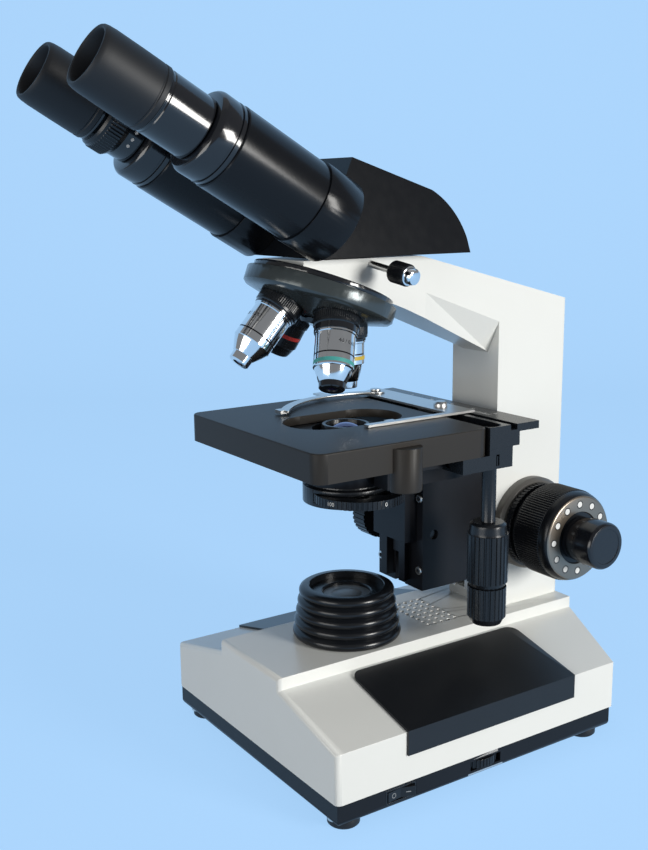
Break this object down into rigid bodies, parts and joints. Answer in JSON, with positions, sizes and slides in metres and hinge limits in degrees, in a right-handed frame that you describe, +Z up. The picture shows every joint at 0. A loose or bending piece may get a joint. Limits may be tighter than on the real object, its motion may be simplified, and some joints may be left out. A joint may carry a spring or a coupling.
{
  "type": "phase contrast microscope",
  "caption": "Binocular phase contrast microscope with inclined head, revolving nosepiece, coaxial focus, mechanical stage with drop-down knobs, phase condenser and lit base.",
  "frame": {"origin": "point where the optical axis meets the bench under the lamp", "axes": "+Z up along the optical axis, the user sits on the -Y side, +X is the user's right"},
  "size_m": [0.1848, 0.3345, 0.408],
  "materials": {
    "enamel": "white semi-gloss enamel",
    "head_black": "black semi-gloss enamel",
    "pan_black": "satin",
    "panel_black": "fine grain",
    "foot_rubber": "matt",
    "switch_plastic": "gloss",
    "electrics": "laminated and lacquered",
    "lamp_black": "black anodised",
    "frosted_glass": "frosted",
    "clear_glass": "polished",
    "coated_glass": "coated",
    "boss_grey": "satin",
    "black_casting": "black satin",
    "guide_steel": "ground",
    "rack_brass": "milled",
    "knob_black": "satin",
    "knob_silver": "turned",
    "stage_black": "black hard coat",
    "belt_rubber": "matt",
    "holder_metal": "satin",
    "nosepiece_black": "black gloss",
    "objective_chrome": "polished",
    "tube_black": "black gloss",
    "cup_rubber": "matt"
  },
  "bodies": {
    "stand": {"base_shell": "enamel", "base_pan": "pan_black", "rubber_feet": "foot_rubber", "side_panels": "panel_black", "switch_frame": "switch_plastic", "power_supply": "electrics", "power_inlet": "switch_plastic", "lamp_housing": "lamp_black", "field_lens": "frosted_glass", "halogen_bulb": "clear_glass", "column_arm": "enamel", "focus_bosses": "boss_grey", "nosepiece_plate": "nosepiece_black"},
    "rocker": {"power_rocker": "switch_plastic"},
    "dimmer": {"brightness_wheel": "switch_plastic"},
    "head_clamp": {"head_clamp_screw": "knob_silver"},
    "fine_block": {"focus_guide": "guide_steel"},
    "coarse_drive": {"coarse_sleeve": "guide_steel", "coarse_knobs": "knob_black"},
    "fine_drive": {"fine_drive": "knob_black"},
    "tension": {"tension_ring": "knob_black"},
    "stage_carriage": {"stage_bracket": "black_casting", "focus_rack": "rack_brass", "stage_fixed_plate": "black_casting"},
    "stage_top": {"stage_plate": "stage_black", "drive_bracket": "black_casting", "x_rail": "stage_black", "x_belt": "belt_rubber"},
    "y_drive": {"y_drive_knob": "knob_black"},
    "x_drive": {"x_drive_knob": "knob_black"},
    "holder": {"slide_holder": "holder_metal"},
    "finger": {"spring_finger": "holder_metal"},
    "condenser": {"condenser_carrier": "black_casting", "condenser_barrel": "black_casting", "condenser_lenses": "clear_glass"},
    "annulus_disc": {"phase_disc": "knob_black"},
    "iris": {"iris_lever": "knob_black"},
    "condenser_drive": {"condenser_knob": "knob_black"},
    "turret": {"turret": "nosepiece_black", "objective_10x": "objective_chrome", "objective_40x": "objective_chrome", "objective_100x": "objective_chrome", "objective_4x": "objective_chrome"},
    "head": {"head_housing": "head_black", "head_prism": "clear_glass", "head_hinge_tube": "tube_black"},
    "right_arm": {"right_prism_box": "head_black", "right_prism": "clear_glass", "right_eyepiece_tube": "head_black"},
    "left_arm": {"left_prism_box": "head_black", "left_prism": "clear_glass", "left_eyepiece_tube": "head_black"},
    "right_ocular": {"right_eyepiece": "tube_black", "right_eyecup": "cup_rubber", "right_eye_lens": "coated_glass"},
    "left_ocular": {"left_eyepiece": "tube_black", "left_eyecup": "cup_rubber", "left_eye_lens": "coated_glass"},
    "dioptre": {"dioptre_ring": "tube_black"}
  },
  "joints": [
    {"name": "rocker_tilt", "type": "hinge", "parent": "stand", "child": "rocker", "pos_m": [0.087, -0.027, 0.0125], "axis": [0, 0, 1], "range_deg": [0, 11]},
    {"name": "dimmer_turn", "type": "hinge", "parent": "stand", "child": "dimmer", "pos_m": [0.0766, 0.034, 0.0125], "axis": [0, 0, 1], "range_deg": [-140, 140]},
    {"name": "head_clamp_turn", "type": "hinge", "parent": "stand", "child": "head_clamp", "pos_m": [0.0181, 0.0022, 0.2943], "axis": [0.9707, 0.1594, -0.1797], "range_deg": [0, 720]},
    {"name": "fine_slide", "type": "slide", "parent": "stand", "child": "fine_block", "axis": [0, 0, 1], "range_m": [-0.001, 0.001]},
    {"name": "coarse_slide", "type": "slide", "parent": "fine_block", "child": "stage_carriage", "axis": [0, 0, 1], "range_m": [-0.014, 0.0075]},
    {"name": "coarse_turn", "type": "hinge", "parent": "fine_block", "child": "coarse_drive", "pos_m": [0, 0.1284, 0.1231], "axis": [1, 0, 0], "range_deg": [-72, 134.5]},
    {"name": "fine_turn", "type": "hinge", "parent": "fine_block", "child": "fine_drive", "pos_m": [0, 0.1284, 0.1231], "axis": [1, 0, 0], "range_deg": [-1801, 1801]},
    {"name": "tension_turn", "type": "hinge", "parent": "stand", "child": "tension", "pos_m": [0.031, 0.1284, 0.1231], "axis": [1, 0, 0], "range_deg": [0, 120]},
    {"name": "stage_y", "type": "slide", "parent": "stage_carriage", "child": "stage_top", "axis": [0, 1, 0], "range_m": [-0.021, 0.011]},
    {"name": "y_turn", "type": "hinge", "parent": "stage_top", "child": "y_drive", "pos_m": [0.063, 0.0565, 0.15], "axis": [0, 0, 1], "range_deg": [-201, 106]},
    {"name": "holder_x", "type": "slide", "parent": "stage_top", "child": "holder", "axis": [1, 0, 0], "range_m": [-0.0275, 0.0475]},
    {"name": "x_turn", "type": "hinge", "parent": "stage_top", "child": "x_drive", "pos_m": [0.063, 0.0565, 0.1], "axis": [0, 0, 1], "range_deg": [-500, 290]},
    {"name": "finger_swing", "type": "hinge", "parent": "holder", "child": "finger", "pos_m": [-0.052, 0.06, 0.2055], "axis": [0, 0, 1], "range_deg": [-25, 0], "stiffness_Nm_per_rad": 0.05, "springref_deg": 11.46},
    {"name": "condenser_rise", "type": "slide", "parent": "stage_carriage", "child": "condenser", "axis": [0, 0, 1], "range_m": [-0.02, 0]},
    {"name": "condenser_turn", "type": "hinge", "parent": "stage_carriage", "child": "condenser_drive", "pos_m": [0, 0.05, 0.128], "axis": [1, 0, 0], "range_deg": [0, 191.5]},
    {"name": "annulus_turn", "type": "hinge", "parent": "condenser", "child": "annulus_disc", "pos_m": [0.013, 0, 0.159], "axis": [0, 0, 1], "continuous": true},
    {"name": "iris_turn", "type": "hinge", "parent": "condenser", "child": "iris", "pos_m": [0, 0, 0.154], "axis": [0, 0, 1], "range_deg": [-35, 50]},
    {"name": "turret_turn", "type": "hinge", "parent": "stand", "child": "turret", "pos_m": [0, 0, 0.3215], "axis": [0, -0.3584, -0.9336], "continuous": true},
    {"name": "head_turn", "type": "hinge", "parent": "stand", "child": "head", "pos_m": [0, 0, 0.2985], "axis": [0, 0, 1], "continuous": true},
    {"name": "right_spacing", "type": "hinge", "parent": "head", "child": "right_arm", "pos_m": [0, 0, 0.3154], "axis": [0, -0.866, 0.5], "range_deg": [0, 64]},
    {"name": "left_spacing", "type": "hinge", "parent": "head", "child": "left_arm", "pos_m": [0, 0, 0.3154], "axis": [0, -0.866, 0.5], "range_deg": [-64, 0]},
    {"name": "right_eyepiece_turn", "type": "hinge", "parent": "right_arm", "child": "right_ocular", "pos_m": [0.0348, -0.00699, 0.3033], "axis": [0, -0.866, 0.5], "continuous": true},
    {"name": "left_eyepiece_slide", "type": "slide", "parent": "left_arm", "child": "left_ocular", "axis": [0, -0.866, 0.5], "range_m": [-0.0016, 0.0016]},
    {"name": "dioptre_turn", "type": "hinge", "parent": "left_arm", "child": "dioptre", "pos_m": [-0.0348, -0.00699, 0.3033], "axis": [0, -0.866, 0.5], "range_deg": [-150, 150]}
  ],
  "couplings": [
    {"joint": "coarse_turn", "follows": "coarse_slide", "rad_per_m": -166.67},
    {"joint": "fine_turn", "follows": "fine_slide", "rad_per_m": 31416},
    {"joint": "y_turn", "follows": "stage_y", "rad_per_m": 166.67},
    {"joint": "x_turn", "follows": "holder_x", "rad_per_m": -183.49},
    {"joint": "condenser_turn", "follows": "condenser_rise", "rad_per_m": -166.67},
    {"joint": "left_spacing", "follows": "right_spacing", "ratio": -1},
    {"joint": "left_eyepiece_slide", "follows": "dioptre_turn", "m_per_rad": 0.00061115}
  ]
}
